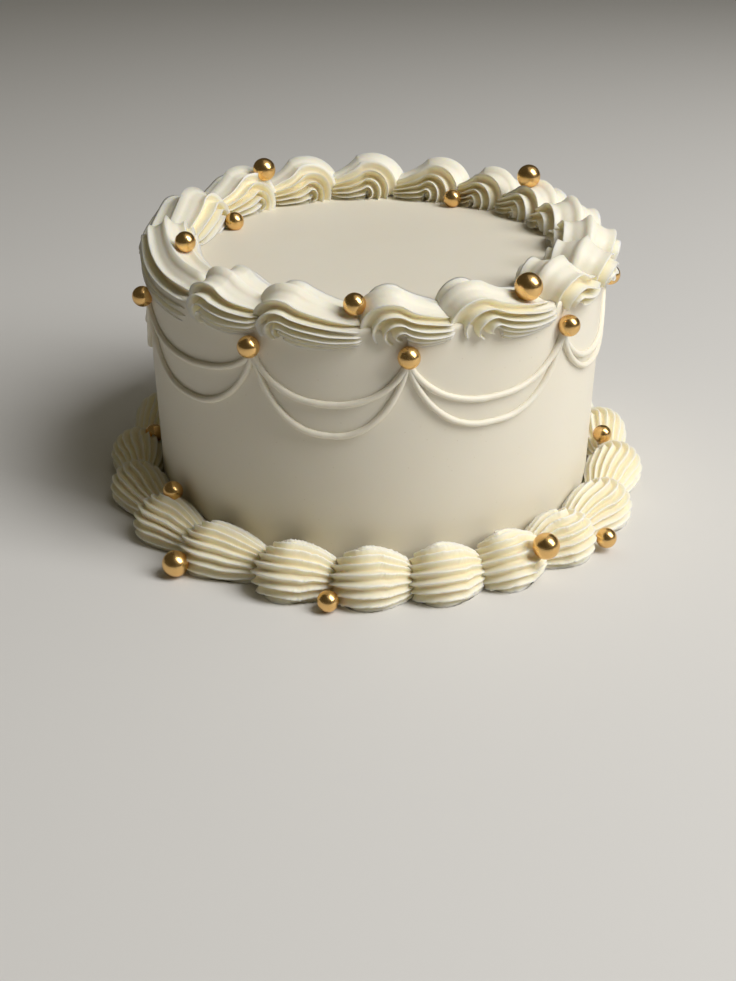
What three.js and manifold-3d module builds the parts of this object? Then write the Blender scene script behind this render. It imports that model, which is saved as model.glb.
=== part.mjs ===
// A vanilla cake: a smooth iced drum with piped shell borders above and below, string swags and gold pearls.
// Millimetres, +Z up, the origin at the middle of the cake's underside.
// Azimuths are degrees from +X towards +Y.
import * as THREE from 'three';
import { mergeVertices } from 'three/addons/utils/BufferGeometryUtils.js';
import Module from 'manifold-3d';

const wasm = await Module();
wasm.setup();

// The iced drum.
const cakeRadius = 90;
const cakeHeight = 96;
const drumSides = 40;
const pieceGap = 0.3;

// Sugar pearls come in two sizes.
const smallPearl = 4;
const largePearl = 5;

// A shell is a ribbed rope of cream that curls over a bend and runs out into a tail.
const bendEnd = 112;
const bendSteps = 3;
const tailSteps = 2;
const bendHollow = 0.5;

// The upper border lies on the top edge of the drum.
const topShell = {
  inCorner: false,
  turnRadius: 80,
  baseHeight: cakeHeight,
  ribs: 7,
  ribSpread: 112,
  undersidePoints: 1,
  undersideReach: 1,
  bendStart: -48,
  bendRadius: 2.6,
  ropeRadius: 10.8,
  ribDepth: 2.6,
  startScale: 0.8,
  tailScale: 0.62,
  tailPower: 1.1,
  pivotOffset: 9.4,
};

// Each upper shell: its head's azimuth and size, its path's radius, its width, its lean and its pivot's height.
const topPlaces = [
  [-137, 1, 80.5, 1.2, 5, -0.5],
  [-118, 0.94, 80.5, 1.2, 5, -1],
  [-93.5, 0.93, 80.5, 1.2, 5, -0.5],
  [-74, 0.97, 80.5, 1.2, 5, -0.8],
  [-46, 1, 81, 1.15, 7, -0.3],
  [-28, 1, 81.5, 1.15, 8, 0],
  [-10, 1.03, 82, 1.12, 9, 0],
  [8, 1.06, 82, 1.1, 10, 0.2],
  [25, 1.1, 82.5, 1.05, 11, 0.3],
  [43, 1.15, 82.5, 1, 12, 0.4],
  [60.5, 1.22, 82.5, 0.98, 12, 0.5],
  [82, 1.27, 82.5, 0.92, 12, 0.5],
  [103, 1.28, 82.5, 0.9, 12, 0.5],
  [125, 1.27, 82.5, 0.95, 12, 0.5],
  [149, 1.15, 81.5, 1.12, 9, 0.2],
  [178, 1.08, 80.5, 1.12, 6, -0.3],
];

// The lower border fills the corner between the drum's side and what the cake stands on.
const baseShell = {
  inCorner: true,
  turnRadius: 103,
  baseHeight: 0,
  ribs: 8,
  ribSpread: 90,
  undersidePoints: 1,
  undersideReach: 1.08,
  bendStart: 15,
  bendRadius: 3,
  ropeRadius: 13,
  ribDepth: 2.4,
  startScale: 0.84,
  tailScale: 0.58,
  tailPower: 2.2,
  pivotOffset: 11.5,
};
const basePlace = { pathRadius: cakeRadius, width: 1, tilt: 65, pivotHeight: 11.3 };
const baseJoints = [
  -98.6, -83.5, -69, -54, -40, -22.5, -3, 16, 35.5, 55, 74.5,
  94, 114.5, 134.5, 154.5, 175, 192, 210, 227, 245.5,
];
const baseTurnJoint = 11;
const baseSizes = [
  0.99, 0.97, 0.96, 0.95, 0.93, 0.91, 0.91, 0.93, 0.95, 0.97, 0.95,
  0.98, 0.96, 0.97, 0.94, 0.9, 0.89, 0.9, 0.93, 0.98,
];

// String swags hang from pearl to pearl, an upper and a lower one in each bay.
const swagAzimuths = [-160, -117.7, -83.3, -42.8, -5, 36, 77, 118, 159];
const swagPearlRadius = 93;
const swagPearlHeight = 87.3;
const upperDrops = [13.6, 18.4, 19.2, 18.6, 17.4, 18.8, 18, 19, 17.6];
const lowerDrops = [27.4, 30.2, 28.8, 23.4, 29, 28, 30, 28.6, 29.4];
const stringRadius = 1.3;
const stringPathRadius = 90.7;
const stringSides = 4;
const stringSteps = 6;
const stringFullness = 2.4;
const stringSteepness = 0.7;
const stringEndDrop = 2;

// Loose pearls: azimuth, distance from the middle, height, radius.
const topPearls = [
  [127.7, 78, 111.6, largePearl],
  [155.8, 63.4, 99.1, smallPearl],
  [-160.8, 75, 106, smallPearl],
  [-95, 82.5, 102.3, smallPearl],
  [59.8, 68.4, 99.5, smallPearl],
  [35.5, 80.5, 112.1, largePearl],
  [-52.2, 85.5, 103.2, largePearl],
];
const basePearls = [
  [178.3, 95, 13.2, smallPearl],
  [-144.7, 96, 16.8, smallPearl],
  [-129.5, 115.7, 5, largePearl],
  [-98.6, 113.6, 4, smallPearl],
  [-57.2, 112.6, 15.5, largePearl],
  [-39.7, 113.6, 5.5, smallPearl],
  [-2.2, 97, 15.4, smallPearl],
];

const creamMaterial = new THREE.MeshStandardMaterial({ color: 0xeee6d2, roughness: 0.55, metalness: 0 });
const pipingMaterial = new THREE.MeshStandardMaterial({ color: 0xf4eedb, roughness: 0.5, metalness: 0 });
const goldMaterial = new THREE.MeshStandardMaterial({ color: 0xb98a45, roughness: 0.3, metalness: 1 });

const radians = THREE.MathUtils.degToRad;

function pointAt(azimuth, distance, height) {
  const angle = radians(azimuth);
  return new THREE.Vector3(distance * Math.cos(angle), distance * Math.sin(angle), height);
}

// A closed three.js geometry as a solid that can be joined and cut.
function solidFrom(geometry) {
  const bare = geometry.clone();
  bare.deleteAttribute('normal');
  bare.deleteAttribute('uv');
  const merged = mergeVertices(bare, 1e-4);
  return new wasm.Manifold(new wasm.Mesh({
    numProp: 3,
    vertProperties: new Float32Array(merged.attributes.position.array),
    triVerts: new Uint32Array(merged.index.array),
  }));
}

// The largest body of a solid as a geometry, so that scraps left by a cut are dropped.
function geometryFrom(solid) {
  const bodies = solid.decompose();
  const largest = bodies.reduce((best, body) => (body.volume() > best.volume() ? body : best));
  const mesh = largest.getMesh();
  const geometry = new THREE.BufferGeometry();
  geometry.setAttribute('position', new THREE.BufferAttribute(new Float32Array(mesh.vertProperties), 3));
  geometry.setIndex(new THREE.BufferAttribute(new Uint32Array(mesh.triVerts), 1));
  return geometry;
}

// A plain drum standing at z = bottom, turned from an outline that starts and ends on the axis.
function drumGeometry(radius, bottom, top) {
  const outline = [
    new THREE.Vector2(0, bottom),
    new THREE.Vector2(radius, bottom),
    new THREE.Vector2(radius, top),
    new THREE.Vector2(0, top),
  ];
  const geometry = new THREE.LatheGeometry(outline, drumSides);
  geometry.rotateX(Math.PI / 2);
  return geometry;
}

// Angles round the rope's section: the ribs' crests at even places, the grooves between them at odd ones.
function sectionPoints(form) {
  const ribPoints = 2 * form.ribs - 1;
  const valleyReach = 1 - form.ribDepth / form.ropeRadius;
  const points = [];
  for (let point = 0; point < ribPoints; point += 1) {
    const across = point / (ribPoints - 1);
    const reach = point % 2 === 0 ? 1 : valleyReach;
    points.push({ angle: form.ribSpread * (2 * across - 1), reach });
  }
  const hiddenArc = 360 - 2 * form.ribSpread;
  for (let point = 1; point <= form.undersidePoints; point += 1) {
    const angle = form.ribSpread + hiddenArc * point / (form.undersidePoints + 1);
    points.push({ angle, reach: form.undersideReach });
  }
  return points;
}

// Places along a shell: the middle line's place, which way is outward there and the rope's size.
// The last place is where the next head fronts, so the tail's end stands square to the path.
function shellStations(form, entry, length) {
  const stations = [];
  const bend = form.bendRadius * entry.size;
  const pivot = new THREE.Vector2(form.pivotOffset * entry.size, entry.pivotHeight * entry.size);
  for (let step = 0; step <= bendSteps; step += 1) {
    const part = step / bendSteps;
    const angle = radians(form.bendStart + (bendEnd - form.bendStart) * part);
    const outward = new THREE.Vector2(-Math.cos(angle), Math.sin(angle));
    const scale = form.startScale + (1 - form.startScale) * Math.sin(part * Math.PI / 2);
    const middle = pivot.clone().addScaledVector(outward, bend);
    stations.push({ outward, middle, scale, inner: bend - bendHollow });
  }
  const bendTip = stations[bendSteps].middle;
  const tailStep = (length - bendTip.x) / tailSteps;
  let height = bendTip.y;
  for (let step = 1; step <= tailSteps; step += 1) {
    const part = step / tailSteps;
    const angle = radians(bendEnd + (90 - bendEnd) * part ** 2);
    height += tailStep / Math.tan(angle);
    const outward = new THREE.Vector2(-Math.cos(angle), Math.sin(angle));
    const middle = new THREE.Vector2(bendTip.x + tailStep * step, height);
    const scale = 1 - (1 - form.tailScale) * part ** form.tailPower;
    stations.push({ outward, middle, scale, inner: Infinity });
  }
  return stations;
}

// One shell, bent from a cylinder. Its head fronts at entry.head and its tail runs towards entry.direction.
// The head is flat where it presses on the shell before it.
function shellGeometry(form, entry) {
  const section = sectionPoints(form);
  const length = radians(entry.pitch) * form.turnRadius - pieceGap / 2;
  const stations = shellStations(form, entry, length);
  const geometry = new THREE.CylinderGeometry(1, 1, 1, section.length, stations.length - 1);
  const places = geometry.attributes.position;
  const lean = Math.sin(radians(entry.tilt));
  const rise = Math.cos(radians(entry.tilt));
  for (let index = 0; index < places.count; index += 1) {
    const x = places.getX(index);
    const z = places.getZ(index);
    const station = stations[Math.round((places.getY(index) + 0.5) * (stations.length - 1))];
    let outwardPart = 0;
    let sidePart = 0;
    if (Math.hypot(x, z) > 0.5) {
      const turn = Math.atan2(x, z) / (2 * Math.PI);
      const point = section[Math.round((turn + 1) * section.length) % section.length];
      const reach = form.ropeRadius * entry.size * station.scale * point.reach;
      outwardPart = reach * Math.cos(radians(point.angle));
      sidePart = reach * entry.width * Math.sin(radians(point.angle));
    }
    outwardPart = Math.max(outwardPart, -station.inner);
    const along = Math.max(station.middle.x + station.outward.x * outwardPart, pieceGap / 2);
    let up = station.middle.y + station.outward.y * outwardPart;
    if (form.inCorner) {
      up = Math.max(up, pieceGap * (lean + rise));
      sidePart = THREE.MathUtils.clamp(sidePart, (pieceGap - up * lean) / rise, up * rise / lean);
    }
    const distance = entry.pathRadius + up * lean + sidePart * rise;
    const height = form.baseHeight + up * rise - sidePart * lean;
    const azimuth = entry.head + entry.direction * THREE.MathUtils.radToDeg(along / form.turnRadius);
    const place = pointAt(azimuth, distance, height);
    places.setXYZ(index, place.x, place.y, place.z);
  }
  if (entry.direction < 0) turnInsideOut(geometry);
  return geometry;
}

// A shell laid the other way round is a mirror image, so its faces are turned to point outwards again.
function turnInsideOut(geometry) {
  const corners = geometry.index.array;
  for (let first = 0; first < corners.length; first += 3) {
    [corners[first], corners[first + 1]] = [corners[first + 1], corners[first]];
  }
}

// A pearl, or the room that it needs where it is grown by a gap.
function pearlGeometry([azimuth, distance, height, radius], growth = 0) {
  const geometry = new THREE.IcosahedronGeometry(radius + growth, 1);
  const place = pointAt(azimuth, distance, height);
  geometry.translate(place.x, place.y, place.z);
  return geometry;
}

// How far below its ends a string hangs, at a share of the way across its bay.
function stringDrop(across, depth) {
  const fullness = 1 - Math.abs(2 * across - 1) ** stringFullness;
  return depth * fullness ** stringSteepness;
}

function stringGeometry(startAzimuth, endAzimuth, depth) {
  const points = [];
  for (let step = 0; step <= stringSteps; step += 1) {
    const across = (1 - Math.cos(Math.PI * step / stringSteps)) / 2;
    const azimuth = startAzimuth + (endAzimuth - startAzimuth) * across;
    const drop = stringEndDrop + stringDrop(across, depth - stringEndDrop);
    points.push(pointAt(azimuth, stringPathRadius, swagPearlHeight - drop));
  }
  const section = new THREE.Shape();
  for (let corner = 0; corner < stringSides; corner += 1) {
    const angle = 2 * Math.PI * corner / stringSides;
    const method = corner === 0 ? 'moveTo' : 'lineTo';
    section[method](stringRadius * Math.cos(angle), stringRadius * Math.sin(angle));
  }
  section.closePath();
  const path = new THREE.CatmullRomCurve3(points, false, 'centripetal');
  return new THREE.ExtrudeGeometry(section, { steps: stringSteps, bevelEnabled: false, extrudePath: path });
}

function clearOfPearls(solid, pearls) {
  const reach = solid.boundingBox();
  let cleared = solid;
  for (const pearl of pearls) {
    const grown = solidFrom(pearlGeometry(pearl, pieceGap));
    const span = grown.boundingBox();
    const axes = [0, 1, 2];
    const near = axes.every((axis) => span.min[axis] < reach.max[axis] && span.max[axis] > reach.min[axis]);
    if (near) cleared = cleared.subtract(grown);
  }
  return cleared;
}

function cakeSolid(pearls) {
  let cake = solidFrom(drumGeometry(cakeRadius, 0, cakeHeight));
  swagAzimuths.forEach((start, bay) => {
    const next = swagAzimuths[(bay + 1) % swagAzimuths.length];
    const end = next > start ? next : next + 360;
    for (const depth of [upperDrops[bay], lowerDrops[bay]]) {
      cake = cake.add(solidFrom(stringGeometry(start, end, depth)));
    }
  });
  return clearOfPearls(cake, pearls);
}

// Each entry: where a shell's head fronts, which way its tail runs, how far on its end is, and how it lies.
function topShellPlan() {
  return topPlaces.map(([head, size, pathRadius, width, tilt, pivotHeight], index) => {
    const next = topPlaces[(index + 1) % topPlaces.length][0];
    const end = next > head ? next : next + 360;
    return { head, direction: 1, pitch: end - head, size, pathRadius, width, tilt, pivotHeight };
  });
}

// The lower border was piped both ways round from the back: two heads meet there, two tails in front.
function baseShellPlan() {
  return baseJoints.map((joint, index) => {
    const end = index + 1 < baseJoints.length ? baseJoints[index + 1] : baseJoints[0] + 360;
    const turned = index < baseTurnJoint;
    const run = { head: turned ? end : joint, direction: turned ? -1 : 1, pitch: end - joint };
    return { ...run, ...basePlace, size: baseSizes[index] };
  });
}

function borderSolids(form, plan, pearls) {
  const drumRoom = solidFrom(drumGeometry(cakeRadius + pieceGap, -cakeHeight, cakeHeight + pieceGap));
  return plan.map((entry) => {
    const shell = solidFrom(shellGeometry(form, entry));
    return clearOfPearls(form.inCorner ? shell : shell.subtract(drumRoom), pearls);
  });
}

function namedMesh(name, geometry, material) {
  const mesh = new THREE.Mesh(geometry, material);
  mesh.name = name;
  return mesh;
}

function addPearls(group, prefix, pearls) {
  pearls.forEach((pearl, index) => {
    group.add(namedMesh(`${prefix}_${index + 1}`, pearlGeometry(pearl), goldMaterial));
  });
}

function addBorder(group, prefix, solids) {
  solids.forEach((solid, index) => {
    const number = String(index + 1).padStart(2, '0');
    group.add(namedMesh(`${prefix}_${number}`, geometryFrom(solid), pipingMaterial));
  });
}

const swagPearls = swagAzimuths.map((azimuth) => [azimuth, swagPearlRadius, swagPearlHeight, smallPearl]);
const cake = new THREE.Group();
cake.add(namedMesh('cake', geometryFrom(cakeSolid([...swagPearls, ...topPearls])), creamMaterial));
addBorder(cake, 'top_shell', borderSolids(topShell, topShellPlan(), [...topPearls, ...swagPearls]));
addBorder(cake, 'base_shell', borderSolids(baseShell, baseShellPlan(), basePearls));
addPearls(cake, 'swag_pearl', swagPearls);
addPearls(cake, 'top_pearl', topPearls);
addPearls(cake, 'base_pearl', basePearls);

export default cake;
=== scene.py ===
import math

import bpy
from mathutils import Matrix, Vector


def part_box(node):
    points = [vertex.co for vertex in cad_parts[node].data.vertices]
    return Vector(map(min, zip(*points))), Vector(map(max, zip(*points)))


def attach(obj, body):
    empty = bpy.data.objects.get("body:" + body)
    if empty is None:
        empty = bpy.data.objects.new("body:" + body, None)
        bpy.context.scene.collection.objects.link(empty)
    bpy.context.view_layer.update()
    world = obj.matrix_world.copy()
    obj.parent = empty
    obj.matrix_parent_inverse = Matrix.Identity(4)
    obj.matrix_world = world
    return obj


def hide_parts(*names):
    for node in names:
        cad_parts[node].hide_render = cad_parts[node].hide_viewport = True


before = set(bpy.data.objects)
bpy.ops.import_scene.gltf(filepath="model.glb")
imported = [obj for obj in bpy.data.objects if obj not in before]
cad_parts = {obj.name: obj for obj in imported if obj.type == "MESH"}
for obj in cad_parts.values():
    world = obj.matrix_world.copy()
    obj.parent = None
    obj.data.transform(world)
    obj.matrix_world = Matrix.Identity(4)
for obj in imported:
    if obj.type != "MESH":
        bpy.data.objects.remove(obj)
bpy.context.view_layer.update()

# The iced drum. A round vanilla sponge under a coat of ivory buttercream, scraped smooth with a bench
# scraper while the cake turned, so the side is even with faint marks round it and the edge is softened.
MM = 0.001
CAKE_RADIUS = 90 * MM
CAKE_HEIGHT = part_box("cake")[1].z
EDGE_SOFTNESS = 1.6 * MM
EDGE_STEPS = 5
DRUM_SEGMENTS = 256
FOOT_ROWS = 4
SIDE_ROWS = 24
TOP_ROWS = 22
ICING_SHADE = (0.80, 0.745, 0.61, 1)
ICING_LIGHT = (0.845, 0.80, 0.69, 1)
ICING_SPECK = (0.62, 0.55, 0.41, 1)


class Wire:
    """An output in a node tree. Arithmetic on it adds Math nodes."""

    def __init__(self, graph, socket):
        self.graph = graph
        self.socket = socket

    def math(self, operation, *values):
        return self.graph.node("ShaderNodeMath", {"operation": operation}, dict(enumerate(values)))

    def __add__(self, other):
        return self.math("ADD", self, other)

    __radd__ = __add__

    def __sub__(self, other):
        return self.math("SUBTRACT", self, other)

    def __rsub__(self, other):
        return self.math("SUBTRACT", other, self)

    def __mul__(self, other):
        return self.math("MULTIPLY", self, other)

    __rmul__ = __mul__

    def __truediv__(self, other):
        return self.math("DIVIDE", self, other)

    def __rtruediv__(self, other):
        return self.math("DIVIDE", other, self)

    def __pow__(self, other):
        return self.math("POWER", self, other)

    def __neg__(self):
        return self.math("MULTIPLY", self, -1)

    def __abs__(self):
        return self.math("ABSOLUTE", self)

    def __getitem__(self, name):
        return self.graph.output(self.socket.node, name)


class Graph:
    """A node tree that is filled in by expressions."""

    def __init__(self, tree):
        self.tree = tree

    def output(self, node, name):
        known = [outlet for outlet in node.outputs if outlet.identifier == name]
        named = [outlet for outlet in node.outputs if outlet.name == name]
        return Wire(self, (known or named)[0])

    def node(self, kind, settings=None, sockets=None):
        """Adds a node: its settings, then its sockets' values or links, by place, identifier or name."""
        made = self.tree.nodes.new(kind)
        for name, value in (settings or {}).items():
            setattr(made, name, value)
        for key, value in (sockets or {}).items():
            if isinstance(key, int):
                socket = made.inputs[key]
            else:
                known = [inlet for inlet in made.inputs if inlet.identifier == key]
                named = [inlet for inlet in made.inputs if inlet.name == key and inlet.enabled]
                socket = (known or named)[0]
            if isinstance(value, Wire):
                self.tree.links.new(value.socket, socket)
            else:
                socket.default_value = value
        shown = [outlet for outlet in made.outputs if outlet.enabled]
        return Wire(self, shown[0]) if shown else made


def finish_graph(name):
    """A new material with an empty node tree, and that tree's graph."""
    material = bpy.data.materials.new(name)
    material.use_nodes = True
    material.node_tree.nodes.clear()
    return material, Graph(material.node_tree)


def blend_colours(graph, share, low, high):
    return graph.node("ShaderNodeMix", {"data_type": "RGBA"}, {
        "Factor_Float": share, "A_Color": low, "B_Color": high})


def icing_finish():
    material, graph = finish_graph("smooth buttercream")
    place = graph.node("ShaderNodeTexCoord")["Object"]
    cloud = graph.node("ShaderNodeTexNoise", {}, {"Vector": place, "Scale": 22.0, "Detail": 3.0})
    streak_place = graph.node("ShaderNodeMapping", {}, {"Vector": place, "Scale": (18.0, 18.0, 160.0)})
    streak = graph.node("ShaderNodeTexNoise", {}, {"Vector": streak_place, "Scale": 1.0, "Detail": 4.0})
    grain = graph.node("ShaderNodeTexNoise", {}, {"Vector": place, "Scale": 1400.0, "Detail": 2.0})
    speck_place = graph.node("ShaderNodeTexVoronoi", {}, {"Vector": place, "Scale": 260.0})["Distance"]
    speck = graph.node("ShaderNodeMapRange", {}, {"Value": speck_place, "From Min": 0.03, "From Max": 0.07})
    colour = blend_colours(graph, cloud, ICING_SHADE, ICING_LIGHT)
    colour = blend_colours(graph, 0.4 + speck * 0.6, ICING_SPECK, colour)
    roughness = 0.44 + streak * 0.12
    relief = graph.node("ShaderNodeBump", {}, {"Strength": 0.25, "Distance": 0.4 * MM,
                                               "Height": streak * 0.5 + grain * 0.10 + speck * 0.3})
    shader = graph.node("ShaderNodeBsdfPrincipled", {}, {
        "Base Color": colour, "Roughness": roughness, "Normal": relief, "IOR": 1.45,
        "Subsurface Weight": 0.2, "Subsurface Radius": (1.0, 0.75, 0.45), "Subsurface Scale": 3 * MM})
    graph.node("ShaderNodeOutputMaterial", {}, {"Surface": shader})
    return material


def drum_outline():
    """The drum's outline from the middle of its underside to the middle of its top, as (radius, height)."""
    outline = [(CAKE_RADIUS * row / FOOT_ROWS, 0) for row in range(FOOT_ROWS + 1)]
    side_top = CAKE_HEIGHT - EDGE_SOFTNESS
    outline += [(CAKE_RADIUS, side_top * row / SIDE_ROWS) for row in range(1, SIDE_ROWS + 1)]
    for step in range(1, EDGE_STEPS + 1):
        angle = math.pi / 2 * step / EDGE_STEPS
        inset = EDGE_SOFTNESS * (1 - math.cos(angle))
        outline.append((CAKE_RADIUS - inset, side_top + EDGE_SOFTNESS * math.sin(angle)))
    rim = CAKE_RADIUS - EDGE_SOFTNESS
    outline += [(rim * (1 - row / TOP_ROWS), CAKE_HEIGHT) for row in range(1, TOP_ROWS + 1)]
    return outline


def turned_mesh(name, outline, segments):
    """A closed mesh turned from an outline that starts and ends on the axis."""
    corners = [Vector((0, 0, outline[0][1]))]
    rings = outline[1:-1]
    for radius, height in rings:
        for step in range(segments):
            angle = 2 * math.pi * step / segments
            corners.append(Vector((radius * math.cos(angle), radius * math.sin(angle), height)))
    corners.append(Vector((0, 0, outline[-1][1])))
    faces = []
    for step in range(segments):
        beside = (step + 1) % segments
        faces.append((0, 1 + beside, 1 + step))
        for ring in range(len(rings) - 1):
            low = 1 + ring * segments
            high = low + segments
            faces.append((low + step, low + beside, high + beside, high + step))
        last = 1 + (len(rings) - 1) * segments
        faces.append((last + step, last + beside, len(corners) - 1))
    mesh = bpy.data.meshes.new(name)
    mesh.from_pydata(corners, [], faces)
    mesh.shade_smooth()
    return mesh


icing = icing_finish()
drum_mesh = turned_mesh("iced_drum", drum_outline(), DRUM_SEGMENTS)
drum_mesh.materials.append(icing)
drum = bpy.data.objects.new("iced_drum", drum_mesh)
bpy.context.scene.collection.objects.link(drum)
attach(drum, "root")
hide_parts("cake")

# The upper shells. Soft ivory buttercream pressed from a star tip: each one swells and curls over at its
# head, runs on anticlockwise along the top edge and is pulled off into a tail, which the next head is piped
# over. The tip's teeth leave thin fins, wide apart on the crown and close together down the sides.

# Each row: the head's azimuth in degrees, size, the path's radius in mm, width, the lean outward in degrees,
# the height of the bend's middle in mm, and how far the hooks are drawn out along the path in mm.
TOP_SHELLS = [
    (-137, 1, 80.5, 1.2, 5, -0.5, 1),
    (-118, 0.94, 80.5, 1.2, 5, -1, 2),
    (-93.5, 0.93, 80.5, 1.2, 5, -0.5, 5),
    (-74, 0.97, 80.5, 1.2, 5, -0.8, 6),
    (-46, 1, 81, 1.15, 7, -0.3, 0),
    (-28, 1, 81.5, 1.15, 8, 0, 0),
    (-10, 1.03, 82, 1.12, 9, 0, 0),
    (8, 1.06, 82, 1.1, 10, 0.2, 2),
    (25, 1.1, 82.5, 1.05, 11, 0.3, 3),
    (43, 1.15, 82.5, 1, 12, 0.4, 4),
    (60.5, 1.22, 82.5, 0.98, 12, 0.5, 4),
    (82, 1.27, 82.5, 0.92, 12, 0.5, 3),
    (103, 1.28, 82.5, 0.9, 12, 0.5, 2),
    (125, 1.27, 82.5, 0.95, 12, 0.5, 1),
    (149, 1.15, 81.5, 1.12, 9, 0.2, 0),
    (178, 1.08, 79.5, 0.88, 6, 0.4, 0),
]
TOP_HEADS = [row[0] for row in TOP_SHELLS]
# The crown setting spreads the pale crest colour over the whole crown of each upper shell, as painted light
# there.
TOP_SHELL = {
    "Ribs": 16, "First Rib": math.radians(42), "Crowding": 0.5787, "Fin Skew": 0.62, "Fin Sharpness": 1.4,
    "Fin Bluntness": 0.1, "Rib Depth": 3.2 * MM, "Crown Depth": -0.25, "Crown Sharpness": 0.6,
    "Crown Painted Light": 0.85, "Turn Radius": 80 * MM, "Base Height": 96 * MM, "Pivot Offset": 9.4 * MM,
    "Bend Radius": 2.6 * MM, "Bend Share": 0.42, "Bend Start": math.radians(-10), "Curl": math.radians(100),
    "Curl From": math.radians(35), "Curl To": math.radians(110), "Bend End": math.radians(112),
    "Rope Radius": 10.8 * MM, "Start Scale": 0.86, "Tail Scale": 0.48, "Tail Power": 1.1,
    "Tail Widening": 0.85, "Head Widening": 0.14, "Overrun": 2.0 * MM, "Side Overrun": 1.0 * MM,
    "Tip Share": 0.16, "Serration": 0.0, "Floor": 0.0, "Twist": 0.0, "Waver": math.radians(5),
    "Raggedness": 0.12 * MM,
}
# On the right the nozzle was held flatter, which left few and broad leaves.
BROAD_LEAVES = {"Ribs": 10, "First Rib": math.radians(50), "Crowding": 0.55, "Curl": math.radians(35)}
BROAD_HEADS = [-46, -28, -10, 8]
# The longest shell, at the left, was piped with one long squeeze and stays thick under the pearl in it.
LONG_SHELL = {"Tail Scale": 0.95, "Tail Power": 3.2, "Tail Widening": 0.3}
LONG_HEADS = [178]
PLACING = ["Path Radius", "Rope Width", "Tilt", "Pivot Height", "Drift"]
TOP_SECTION_POINTS = 216
TOP_STATIONS = 90
CROWN_PHASES = (0.6, 1.6)
SIDE_ANGLES = (0.5, 1.6)
DRIFT_ANGLES = (0.5, 2.1)
MOUTH_SHARE = 0.05
SERRATED_SHARE = 0.14
TWISTED_SHARE = 0.45
CORE_RADIUS = 0.5 * MM
# The piping's two colours stand in for light: the darker, yellower one is painted shade in the grooves
# between the fins, and the paler one is painted light on the crests and the crown.
PAINTED_GROOVE_SHADE = (0.865, 0.765, 0.475, 1)
PAINTED_CREST_LIGHT = (0.885, 0.86, 0.77, 1)


def smooth_step(graph, value, low, high):
    settings = {"interpolation_type": "SMOOTHSTEP"}
    return graph.node("ShaderNodeMapRange", settings, {"Value": value, "From Min": low, "From Max": high})


def clamped(graph, value):
    return graph.node("ShaderNodeClamp", {}, {"Value": value})


def group_graph(name, inputs):
    """A new geometry tree with an input of the given kind for each name, and each input as a wire."""
    tree = bpy.data.node_groups.new(name, "GeometryNodeTree")
    tree.is_modifier = True
    tree.interface.new_socket("Geometry", in_out="OUTPUT", socket_type="NodeSocketGeometry")
    for label, kind in inputs.items():
        tree.interface.new_socket(label, in_out="INPUT", socket_type=kind)
    graph = Graph(tree)
    entry = graph.node("NodeGroupInput")
    return graph, {label: entry[label] for label in inputs}


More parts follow.
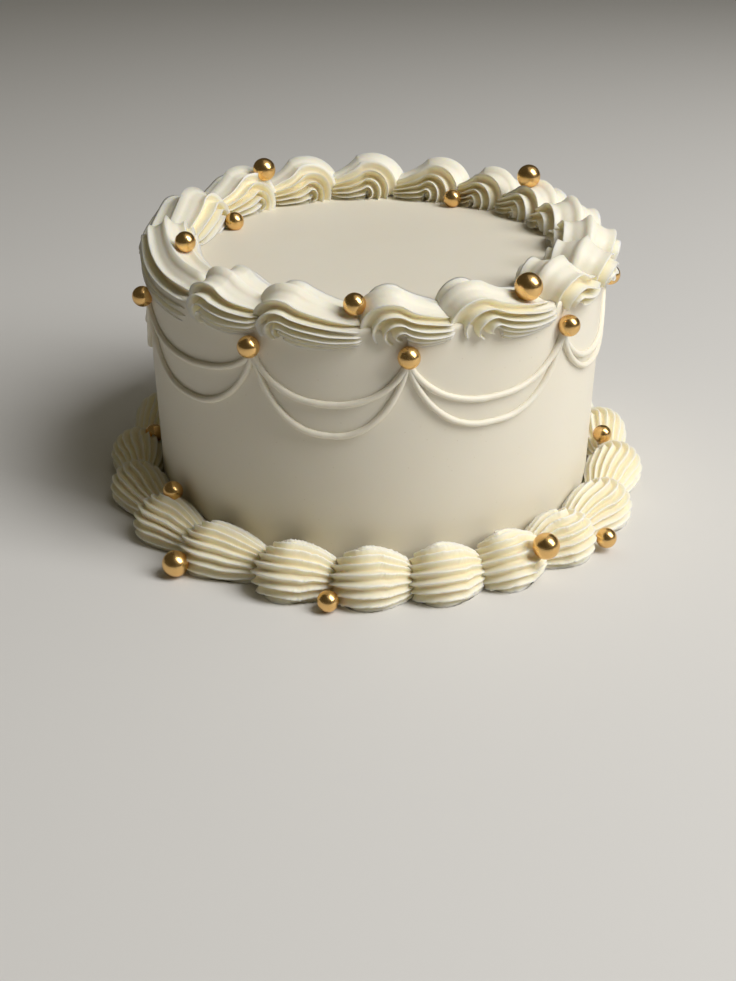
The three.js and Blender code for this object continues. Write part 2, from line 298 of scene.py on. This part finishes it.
def shell_tree():
    floats = ["Head", "Direction", "Pitch", "Size", *PLACING, *TOP_SHELL]
    inputs = {label: "NodeSocketFloat" for label in floats}
    inputs.update({"Section Points": "NodeSocketInt", "Stations": "NodeSocketInt", "Seed": "NodeSocketFloat"})
    inputs["Finish"] = "NodeSocketMaterial"
    graph, given = group_graph("piped shell", inputs)
    ball = graph.node("GeometryNodeMeshUVSphere", {}, {
        "Segments": given["Section Points"], "Rings": given["Stations"], "Radius": 1.0})
    place = graph.node("ShaderNodeSeparateXYZ", {}, {"Vector": graph.node("GeometryNodeInputPosition")})
    along = place["Z"].math("ARCCOSINE", -place["Z"]) / math.pi
    turn = place["Y"].math("ARCTAN2", place["Y"], place["X"])
    side_sign = place["Y"].math("SIGN", turn)

    # Where a line along the rope lies on its section, and how far it stands above the grooves.
    half_ribs = given["Ribs"] / 2
    phase = abs(turn) / math.pi * half_ribs
    rest = math.pi - given["First Rib"] * half_ribs ** given["Crowding"]
    below = (phase - (half_ribs - 1)).math("MAXIMUM", phase - (half_ribs - 1), 0)
    sway_place = graph.node("ShaderNodeCombineXYZ", {}, {0: along * 2.5, 1: turn * 0.8, 2: given["Seed"]})
    sway = graph.node("ShaderNodeTexNoise", {}, {"Vector": sway_place, "Scale": 1.0, "Detail": 1.0}) - 0.5
    section = given["First Rib"] * phase ** given["Crowding"] + rest * below * below
    twist = given["Twist"] * given["Direction"] * (1 - clamped(graph, along / TWISTED_SHARE)) ** 2
    section_angle = side_sign * section + sway * given["Waver"] * 2 + twist
    part = phase.math("FRACT", phase) ** given["Fin Skew"] * math.pi
    wave = part.math("SINE", part)
    blunt = given["Fin Bluntness"]
    depth_share = ((wave * wave + blunt * blunt) ** 0.5 - blunt) / ((blunt * blunt + 1) ** 0.5 - blunt)
    crown = 1 - smooth_step(graph, phase, *CROWN_PHASES)
    sharpness = given["Fin Sharpness"] * (1 + given["Crown Sharpness"] * crown)
    crest = clamped(graph, 1 - depth_share) ** sharpness
    depth = given["Rib Depth"] * (1 + given["Crown Depth"] * crown)

    # The bend at the head, from where each fin starts to where the tail begins.
    bend_part = clamped(graph, along / given["Bend Share"])
    tail_part = clamped(graph, (along - given["Bend Share"]) / (1 - given["Bend Share"]))
    curl = smooth_step(graph, section, given["Curl From"], given["Curl To"])
    bend_start = given["Bend Start"] - given["Curl"] * curl
    bend_angle = bend_start + (given["Bend End"] - bend_start) * bend_part
    bend = given["Bend Radius"] * given["Size"]
    cosine = bend_angle.math("COSINE", bend_angle)
    sine = bend_angle.math("SINE", bend_angle)
    end_cosine = given["Bend End"].math("COSINE", given["Bend End"])
    end_sine = given["Bend End"].math("SINE", given["Bend End"])
    in_tail = tail_part.math("GREATER_THAN", tail_part, 0)

    # The tail sinks from the bend's end and levels out.
    length = given["Pitch"] * given["Turn Radius"] + given["Overrun"]
    length = length + given["Side Overrun"] * smooth_step(graph, section, *SIDE_ANGLES)
    reach = length - (given["Pivot Offset"] * given["Size"] - bend * end_cosine)
    left = 1 - tail_part
    slope = end_cosine / end_sine * left * left
    drop = end_cosine / end_sine * reach * (1 - left * left * left) / 3
    lift = (slope * slope + 1).math("SQRT", slope * slope + 1)
    outward_x = -cosine * (1 - in_tail) - slope / lift * in_tail
    outward_z = sine * (1 - in_tail) + in_tail / lift
    middle_x = given["Pivot Offset"] * given["Size"] - bend * cosine + reach * tail_part
    middle_z = given["Pivot Height"] * given["Size"] + bend * sine + drop

    # The rope's size along the shell, closed roundly at both ends.
    swell = given["Start Scale"] + (1 - given["Start Scale"]) * (bend_part * math.pi / 2).math(
        "SINE", bend_part * math.pi / 2)
    taper = 1 - (1 - given["Tail Scale"]) * tail_part ** given["Tail Power"]
    tip = clamped(graph, (tail_part - (1 - given["Tip Share"])) / given["Tip Share"])
    mouth = 1 - clamped(graph, along / MOUTH_SHARE)
    closing = (1 - tip * tip).math("MAXIMUM", 1 - tip * tip, 0) ** 0.5
    opening = (1 - mouth * mouth * mouth).math("MAXIMUM", 1 - mouth * mouth * mouth, 0) ** 0.4
    scale = given["Size"] * swell * taper * closing * opening
    tear_place = graph.node("ShaderNodeCombineXYZ", {}, {0: along * 45, 1: turn * 9, 2: given["Seed"] + 5})
    tear = graph.node("ShaderNodeTexNoise", {}, {"Vector": tear_place, "Scale": 1.0, "Detail": 3.0}) - 0.5
    radius = (given["Rope Radius"] - depth * (1 - crest)) * scale
    radius = radius + tear * given["Raggedness"] * 2 * crest * closing

    outward = radius * section_angle.math("COSINE", section_angle)
    widening = given["Tail Widening"] * tail_part + given["Head Widening"] * left
    width = given["Rope Width"] * (1 + widening)
    aside = radius * width * section_angle.math("SINE", section_angle)
    inner = CORE_RADIUS - bend - tail_part * given["Rope Radius"] * 3
    outward = outward.math("MAXIMUM", outward, inner)
    start = 1 - clamped(graph, along / SERRATED_SHARE)
    drawn_out = given["Drift"] * smooth_step(graph, section, *DRIFT_ANGLES) * left * left
    ahead = middle_x + outward_x * outward + drawn_out - given["Serration"] * crest * start * start
    up = middle_z + outward_z * outward
    tilt_cosine = given["Tilt"].math("COSINE", given["Tilt"])
    tilt_sine = given["Tilt"].math("SINE", given["Tilt"])
    distance = given["Path Radius"] + up * tilt_sine + aside * tilt_cosine
    height = given["Base Height"] + up * tilt_cosine - aside * tilt_sine
    azimuth = given["Head"] + given["Direction"] * ahead / given["Turn Radius"]
    position = graph.node("ShaderNodeCombineXYZ", {}, {
        0: distance * azimuth.math("COSINE", azimuth),
        1: distance * azimuth.math("SINE", azimuth),
        2: height.math("MAXIMUM", height, given["Floor"])})
    # Painted light and shade: a mask that is high on the crests and over the crown of the upper shells, and
    # low in the grooves, which get the darker painted shade.
    whiteness = 1 - (1 - crest) * (1 - crown * given["Crown Painted Light"])
    marked = graph.node("GeometryNodeStoreNamedAttribute", {"data_type": "FLOAT", "domain": "POINT"}, {
        "Geometry": ball["Mesh"], "Name": "whiteness", "Value": whiteness})
    shaped = graph.node("GeometryNodeSetPosition", {}, {"Geometry": marked, "Position": position})
    backward = given["Direction"].math("LESS_THAN", given["Direction"], 0)
    turned = graph.node("GeometryNodeFlipFaces", {}, {"Mesh": shaped, "Selection": backward})
    smooth = graph.node("GeometryNodeSetShadeSmooth", {}, {"Geometry": turned})
    real = graph.node("GeometryNodeRealizeInstances", {}, {"Geometry": smooth})
    finished = graph.node("GeometryNodeSetMaterial", {}, {"Geometry": real, "Material": given["Finish"]})
    graph.node("NodeGroupOutput", {}, {"Geometry": finished})
    return graph.tree


def grown(name, tree, values, start=None):
    """A new object whose mesh is what the tree makes with these values."""
    piece = bpy.data.objects.new(name, start or bpy.data.meshes.new(name))
    bpy.context.scene.collection.objects.link(piece)
    growth = piece.modifiers.new("growth", "NODES")
    growth.node_group = tree
    sockets = {item.name: item.identifier for item in tree.interface.items_tree if item.in_out == "INPUT"}
    for label, value in values.items():
        growth[sockets[label]] = value
    settled = bpy.context.evaluated_depsgraph_get()
    mesh = bpy.data.meshes.new_from_object(piece.evaluated_get(settled), depsgraph=settled)
    piece.modifiers.remove(growth)
    piece.data = mesh
    mesh.name = name
    return piece


def piping_finish():
    material, graph = finish_graph("piped buttercream")
    place = graph.node("ShaderNodeTexCoord")["Object"]
    whiteness = graph.node("ShaderNodeAttribute", {"attribute_name": "whiteness"})["Fac"]
    cloud = graph.node("ShaderNodeTexNoise", {}, {"Vector": place, "Scale": 60.0, "Detail": 3.0})
    grain = graph.node("ShaderNodeTexNoise", {}, {"Vector": place, "Scale": 1100.0, "Detail": 3.0})
    pits = graph.node("ShaderNodeTexNoise", {}, {"Vector": place, "Scale": 380.0, "Detail": 2.0})
    # The colour goes from the painted groove shade to the painted crest light along that mask, with a little
    # random cloud.
    tone = clamped(graph, whiteness * 0.75 + cloud * 0.3)
    colour = blend_colours(graph, tone, PAINTED_GROOVE_SHADE, PAINTED_CREST_LIGHT)
    relief = graph.node("ShaderNodeBump", {}, {"Strength": 0.3, "Distance": 0.3 * MM,
                                               "Height": grain * 0.35 + pits * 0.5})
    shader = graph.node("ShaderNodeBsdfPrincipled", {}, {
        "Base Color": colour, "Roughness": 0.40 + grain * 0.16, "Normal": relief, "IOR": 1.45,
        "Subsurface Weight": 0.5, "Subsurface Radius": (1.0, 0.8, 0.42), "Subsurface Scale": 3 * MM})
    graph.node("ShaderNodeOutputMaterial", {}, {"Surface": shader})
    return material


piping = piping_finish()
shell_growth = shell_tree()


def next_pitch(places, index):
    """Degrees from one place to the next one round the cake."""
    return (places[(index + 1) % len(places)] - places[index]) % 360


for index, (head, size, path_radius, width, tilt, pivot_height, drift) in enumerate(TOP_SHELLS):
    own = BROAD_LEAVES if head in BROAD_HEADS else LONG_SHELL if head in LONG_HEADS else {}
    shell = grown(f"upper_shell_{index + 1:02d}", shell_growth, {
        **TOP_SHELL, **own,
        "Head": math.radians(head), "Direction": 1.0, "Pitch": math.radians(next_pitch(TOP_HEADS, index)),
        "Size": size, "Path Radius": path_radius * MM, "Rope Width": width, "Tilt": math.radians(tilt),
        "Pivot Height": pivot_height * MM, "Drift": drift * MM, "Section Points": TOP_SECTION_POINTS,
        "Stations": TOP_STATIONS, "Seed": 3.0 * index, "Finish": piping})
    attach(shell, "root")
    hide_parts(f"top_shell_{index + 1:02d}")

# The lower shells. The same cream and the same way of piping, pressed into the corner at the cake's foot.
# They were piped both ways round from the back, so two tails meet at the front right, and they are plump
# and ribbed all over, with torn crests in front.
BASE_JOINTS = [-98.6, -83.5, -69, -54, -40, -22.5, -3, 16, 35.5, 55, 74.5,
               94, 114.5, 134.5, 154.5, 175, 192, 210, 227, 245.5]
# The joints, counted from the front, where two tails meet and where two heads meet.
BASE_TAILS_JOINT = 3
BASE_HEADS_JOINT = 11
BASE_SIZES = [0.99, 0.97, 0.96, 0.95, 0.93, 0.91, 0.91, 0.93, 0.95, 0.97, 0.95,
              0.98, 0.96, 0.97, 0.94, 0.9, 0.89, 0.9, 0.93, 0.98]
BASE_SHELL = {
    **TOP_SHELL, "Ribs": 20, "First Rib": math.radians(18), "Crowding": 1.0, "Fin Skew": 1.0,
    "Fin Sharpness": 1.0, "Fin Bluntness": 0.2, "Rib Depth": 2.4 * MM, "Crown Depth": 0.0,
    "Crown Sharpness": 0.0, "Crown Painted Light": 0.0, "Path Radius": 90 * MM, "Drift": 0.0,
    "Turn Radius": 103 * MM, "Base Height": 0.0, "Tilt": math.radians(65), "Pivot Offset": 11.5 * MM,
    "Pivot Height": 11.3 * MM, "Bend Radius": 3 * MM, "Bend Start": math.radians(-15), "Curl": 0.0,
    "Rope Radius": 13 * MM, "Rope Width": 1.0, "Start Scale": 0.78, "Tail Scale": 0.46, "Tail Power": 1.9,
    "Tail Widening": 0.0, "Head Widening": 0.0, "Overrun": 3 * MM, "Side Overrun": 0.0, "Tip Share": 0.2,
    "Serration": 1.2 * MM, "Floor": 0.05 * MM, "Twist": math.radians(13), "Waver": math.radians(7),
    "Raggedness": 0.4 * MM,
}
TORN_SHELLS = {"Raggedness": 0.95 * MM}
TORN_INDEXES = [0, 1, 2, 3, 19]
BASE_SECTION_POINTS = 200
BASE_STATIONS = 60
for index, joint in enumerate(BASE_JOINTS):
    pitch = next_pitch(BASE_JOINTS, index)
    turned = BASE_TAILS_JOINT <= index < BASE_HEADS_JOINT
    shell = grown(f"lower_shell_{index + 1:02d}", shell_growth, {
        **BASE_SHELL, **(TORN_SHELLS if index in TORN_INDEXES else {}),
        "Head": math.radians(joint + pitch if turned else joint), "Direction": -1.0 if turned else 1.0,
        "Pitch": math.radians(pitch), "Size": BASE_SIZES[index],
        "Section Points": BASE_SECTION_POINTS, "Stations": BASE_STATIONS, "Seed": 50 + 3.0 * index,
        "Finish": piping})
    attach(shell, "root")
    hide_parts(f"base_shell_{index + 1:02d}")

# The string swags. Fine round strings of the same cream, piped freehand from pearl to pearl, an upper and a
# lower one in each bay, and left to hang against the side.
SWAG_AZIMUTHS = [-160, -117.7, -83.3, -42.8, -5, 36, 77, 118, 159]
SWAG_PEARL_HEIGHT = 87.3 * MM
UPPER_DROPS = [13.6, 18.4, 19.2, 18.6, 17.4, 18.8, 18, 19, 17.6]
LOWER_DROPS = [27.4, 30.2, 28.8, 23.4, 29, 28, 30, 28.6, 29.4]
STRING_RADIUS = 1.15 * MM
STRING_PATH_RADIUS = 90.6 * MM
STRING_END_DROP = 2 * MM
STRING_FULLNESS = 2.4
STRING_STEEPNESS = 0.7
STRING_WAVE = 0.8 * MM
STRING_POINTS = 72
STRING_SIDES = 14
STRING_SHADE = (0.82, 0.765, 0.63, 1)
STRING_LIGHT = (0.88, 0.84, 0.73, 1)


def string_starts():
    """One point for each string, which carries where it starts and ends and how deep it hangs."""
    rows = []
    for bay, start in enumerate(SWAG_AZIMUTHS):
        end = start + next_pitch(SWAG_AZIMUTHS, bay)
        for drop in (UPPER_DROPS[bay], LOWER_DROPS[bay]):
            rows.append({"start": math.radians(start), "end": math.radians(end), "drop": drop * MM})
    mesh = bpy.data.meshes.new("string starts")
    mesh.from_pydata([(0, 0, row) for row in range(len(rows))], [], [])
    for label in rows[0]:
        layer = mesh.attributes.new(label, "FLOAT", "POINT")
        layer.data.foreach_set("value", [row[label] for row in rows])
    return mesh


def string_tree():
    graph, given = group_graph("hanging strings", {
        "Strings": "NodeSocketGeometry", "Path Radius": "NodeSocketFloat", "String Radius": "NodeSocketFloat",
        "Top Height": "NodeSocketFloat", "End Drop": "NodeSocketFloat", "Fullness": "NodeSocketFloat",
        "Steepness": "NodeSocketFloat", "Seed": "NodeSocketFloat", "Finish": "NodeSocketMaterial"})
    line = graph.node("GeometryNodeCurvePrimitiveLine", {}, {"Start": (0, 0, 0), "End": (1, 0, 0)})
    steps = graph.node("GeometryNodeResampleCurve", {}, {"Curve": line, "Count": STRING_POINTS})
    strewn = graph.node("GeometryNodeInstanceOnPoints", {}, {"Points": given["Strings"], "Instance": steps})
    real = graph.node("GeometryNodeRealizeInstances", {}, {"Geometry": strewn})
    start, end, drop = [graph.node("GeometryNodeInputNamedAttribute", {"data_type": "FLOAT"}, {"Name": label})
                        for label in ("start", "end", "drop")]
    share = graph.node("GeometryNodeSplineParameter")["Factor"]
    across = (1 - (share * math.pi).math("COSINE", share * math.pi)) / 2
    azimuth = start + (end - start) * across
    fullness = 1 - abs(across * 2 - 1) ** given["Fullness"]
    fullness = fullness.math("MAXIMUM", fullness, 0) ** given["Steepness"]
    wave_place = graph.node("ShaderNodeCombineXYZ", {}, {0: azimuth * 5, 1: drop * 900, 2: given["Seed"]})
    wave = graph.node("ShaderNodeTexNoise", {}, {"Vector": wave_place, "Scale": 1.0, "Detail": 1.0}) - 0.5
    end_height = given["Top Height"] - given["End Drop"]
    height = end_height - (drop - given["End Drop"]) * fullness + wave * STRING_WAVE
    hung = graph.node("GeometryNodeSetPosition", {}, {
        "Geometry": real,
        "Position": graph.node("ShaderNodeCombineXYZ", {}, {
            0: given["Path Radius"] * azimuth.math("COSINE", azimuth),
            1: given["Path Radius"] * azimuth.math("SINE", azimuth), 2: height})})
    round_section = graph.node("GeometryNodeCurvePrimitiveCircle", {}, {
        "Resolution": STRING_SIDES, "Radius": given["String Radius"]})
    thick_place = graph.node("ShaderNodeCombineXYZ", {}, {
        0: azimuth * 26, 1: drop * 900, 2: given["Seed"] + 3})
    thick = graph.node("ShaderNodeTexNoise", {}, {"Vector": thick_place, "Scale": 1.0, "Detail": 2.0})
    piped = graph.node("GeometryNodeCurveToMesh", {}, {
        "Curve": hung, "Profile Curve": round_section, "Fill Caps": True, "Scale": 0.75 + thick * 0.5})
    smooth = graph.node("GeometryNodeSetShadeSmooth", {}, {"Geometry": piped})
    again = graph.node("GeometryNodeRealizeInstances", {}, {"Geometry": smooth})
    finished = graph.node("GeometryNodeSetMaterial", {}, {"Geometry": again, "Material": given["Finish"]})
    graph.node("NodeGroupOutput", {}, {"Geometry": finished})
    return graph.tree


def string_finish():
    material, graph = finish_graph("piped string")
    place = graph.node("ShaderNodeTexCoord")["Object"]
    cloud = graph.node("ShaderNodeTexNoise", {}, {"Vector": place, "Scale": 90.0, "Detail": 3.0})
    grain = graph.node("ShaderNodeTexNoise", {}, {"Vector": place, "Scale": 1300.0, "Detail": 2.0})
    colour = blend_colours(graph, cloud, STRING_SHADE, STRING_LIGHT)
    relief = graph.node("ShaderNodeBump", {}, {"Strength": 0.25, "Distance": 0.2 * MM, "Height": grain})
    shader = graph.node("ShaderNodeBsdfPrincipled", {}, {
        "Base Color": colour, "Roughness": 0.38 + cloud * 0.14, "Normal": relief, "IOR": 1.45,
        "Subsurface Weight": 0.2, "Subsurface Radius": (1.0, 0.75, 0.42), "Subsurface Scale": 1.5 * MM})
    graph.node("ShaderNodeOutputMaterial", {}, {"Surface": shader})
    return material


strings = grown("string_swags", string_tree(), {
    "Path Radius": STRING_PATH_RADIUS, "String Radius": STRING_RADIUS, "Top Height": SWAG_PEARL_HEIGHT,
    "End Drop": STRING_END_DROP, "Fullness": STRING_FULLNESS, "Steepness": STRING_STEEPNESS, "Seed": 11.0,
    "Finish": string_finish()}, string_starts())
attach(strings, "root")

# The gold pearls. Round sugar pearls with a thin coat of edible gold, pressed into the fresh cream by hand:
# one over each joint of the swags, and large and small ones scattered along both borders.
PEARL_UNEVENNESS = 0.09 * MM
GOLD_SHADE = (0.78, 0.47, 0.165, 1)
GOLD_LIGHT = (0.92, 0.62, 0.27, 1)


def pearl_tree():
    graph, given = group_graph("sugar pearl", {
        "Radius": "NodeSocketFloat", "Centre": "NodeSocketVector", "Unevenness": "NodeSocketFloat",
        "Seed": "NodeSocketFloat", "Finish": "NodeSocketMaterial"})
    ball = graph.node("GeometryNodeMeshIcoSphere", {}, {"Radius": 1.0, "Subdivisions": 5})["Mesh"]
    place = graph.node("GeometryNodeInputPosition")
    dents = graph.node("ShaderNodeTexNoise", {"noise_dimensions": "4D"}, {
        "Vector": place, "W": given["Seed"], "Scale": 1.6, "Detail": 2.0}) - 0.5
    reach = given["Radius"] - given["Unevenness"] + dents * given["Unevenness"] * 1.6
    grown_place = graph.node("ShaderNodeVectorMath", {"operation": "SCALE"}, {
        "Vector": place, "Scale": reach})
    moved = graph.node("ShaderNodeVectorMath", {"operation": "ADD"}, {0: grown_place, 1: given["Centre"]})
    shaped = graph.node("GeometryNodeSetPosition", {}, {"Geometry": ball, "Position": moved})
    smooth = graph.node("GeometryNodeSetShadeSmooth", {}, {"Geometry": shaped})
    real = graph.node("GeometryNodeRealizeInstances", {}, {"Geometry": smooth})
    finished = graph.node("GeometryNodeSetMaterial", {}, {"Geometry": real, "Material": given["Finish"]})
    graph.node("NodeGroupOutput", {}, {"Geometry": finished})
    return graph.tree


def gold_finish():
    material, graph = finish_graph("edible gold")
    place = graph.node("ShaderNodeTexCoord")["Object"]
    cloud = graph.node("ShaderNodeTexNoise", {}, {"Vector": place, "Scale": 320.0, "Detail": 4.0})
    grain = graph.node("ShaderNodeTexNoise", {}, {"Vector": place, "Scale": 2600.0, "Detail": 2.0})
    colour = blend_colours(graph, cloud, GOLD_SHADE, GOLD_LIGHT)
    relief = graph.node("ShaderNodeBump", {}, {"Strength": 0.18, "Distance": 0.1 * MM, "Height": grain})
    shader = graph.node("ShaderNodeBsdfPrincipled", {}, {
        "Base Color": colour, "Metallic": 1.0, "Roughness": 0.18 + cloud * 0.14, "Normal": relief})
    graph.node("ShaderNodeOutputMaterial", {}, {"Surface": shader})
    return material


gold = gold_finish()
pearl_growth = pearl_tree()
pearl_nodes = sorted(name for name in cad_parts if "_pearl_" in name)
for index, node in enumerate(pearl_nodes):
    low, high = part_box(node)
    centre = (low + high) / 2
    pearl = grown(f"gold_{node}", pearl_growth, {
        "Radius": (high.x - low.x) / 2, "Centre": centre, "Unevenness": PEARL_UNEVENNESS, "Seed": 2.0 * index,
        "Finish": gold})
    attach(pearl, "root")
    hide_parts(node)

# The floor. A wide flat sheet, matt and pale, that the cake stands on. It is not part of the cake and is
# there only to carry its shadow.
FLOOR_SIZE = 6.0
FLOOR_COLOUR = (0.74, 0.73, 0.71, 1)


def floor_finish():
    material, graph = finish_graph("pale floor")
    shader = graph.node("ShaderNodeBsdfPrincipled", {}, {"Base Color": FLOOR_COLOUR, "Roughness": 0.6})
    graph.node("ShaderNodeOutputMaterial", {}, {"Surface": shader})
    return material


floor_mesh = bpy.data.meshes.new("floor")
half = FLOOR_SIZE / 2
floor_corners = [(-half, -half, 0), (half, -half, 0), (half, half, 0), (-half, half, 0)]
floor_mesh.from_pydata(floor_corners, [], [(0, 1, 2, 3)])
floor_mesh.materials.append(floor_finish())
floor = bpy.data.objects.new("floor", floor_mesh)
bpy.context.scene.collection.objects.link(floor)

# The light. A tall soft window high up to the right and a little in front, a faint bright ceiling over the
# right of the cake, and a weak warm room all round.
WINDOW_PLACE = Vector((1.174, -0.523, 1.379))
WINDOW_SIZE = (0.8, 1.5)
WINDOW_POWER = 35.0
WINDOW_COLOUR = (1.0, 0.99, 0.98)
CEILING_PLACE = Vector((0.7, 0.1, 1.6))
CEILING_SIZE = (1.7, 1.7)
CEILING_POWER = 3.2
CEILING_COLOUR = (1.0, 0.97, 0.92)
ROOM_COLOUR = (0.62, 0.555, 0.38, 1)
ROOM_STRENGTH = 0.105


def soft_light(name, place, size, power, colour):
    lamp = bpy.data.lights.new(name, "AREA")
    lamp.shape = "RECTANGLE"
    lamp.size, lamp.size_y = size
    lamp.energy = power
    lamp.color = colour
    holder = bpy.data.objects.new(name, lamp)
    holder.location = place
    holder.rotation_euler = (Vector((0, 0, CAKE_HEIGHT / 2)) - place).to_track_quat("-Z", "Y").to_euler()
    bpy.context.scene.collection.objects.link(holder)


soft_light("window", WINDOW_PLACE, WINDOW_SIZE, WINDOW_POWER, WINDOW_COLOUR)
soft_light("ceiling", CEILING_PLACE, CEILING_SIZE, CEILING_POWER, CEILING_COLOUR)
world = bpy.data.worlds.new("room")
world.use_nodes = True
world.node_tree.nodes["Background"].inputs["Color"].default_value = ROOM_COLOUR
world.node_tree.nodes["Background"].inputs["Strength"].default_value = ROOM_STRENGTH
bpy.context.scene.world = world
bpy.context.scene.view_settings.view_transform = "Standard"

# The camera. A phone held in front of the cake and above it, tipped a little off level. Its place and its
# focal length were fitted to the edges of the drum.
CAMERA_PLACE = Vector((-0.00286, -0.45517, 0.23807))
CAMERA_PITCH = math.radians(28.97)
CAMERA_ROLL = math.radians(-0.14)
IMAGE_LONG_SIDE = 981
FOCAL_PIXELS = 1180.29
SENSOR_WIDTH = 36.0
camera_data = bpy.data.cameras.new("camera")
camera_data.sensor_width = SENSOR_WIDTH
camera_data.lens = FOCAL_PIXELS / IMAGE_LONG_SIDE * SENSOR_WIDTH
camera_data.clip_start = 0.01
camera = bpy.data.objects.new("camera", camera_data)
camera.matrix_world = (Matrix.Translation(CAMERA_PLACE) @ Matrix.Rotation(math.pi / 2 - CAMERA_PITCH, 4, "X")
                       @ Matrix.Rotation(CAMERA_ROLL, 4, "Z"))
bpy.context.scene.collection.objects.link(camera)
bpy.context.scene.camera = camera
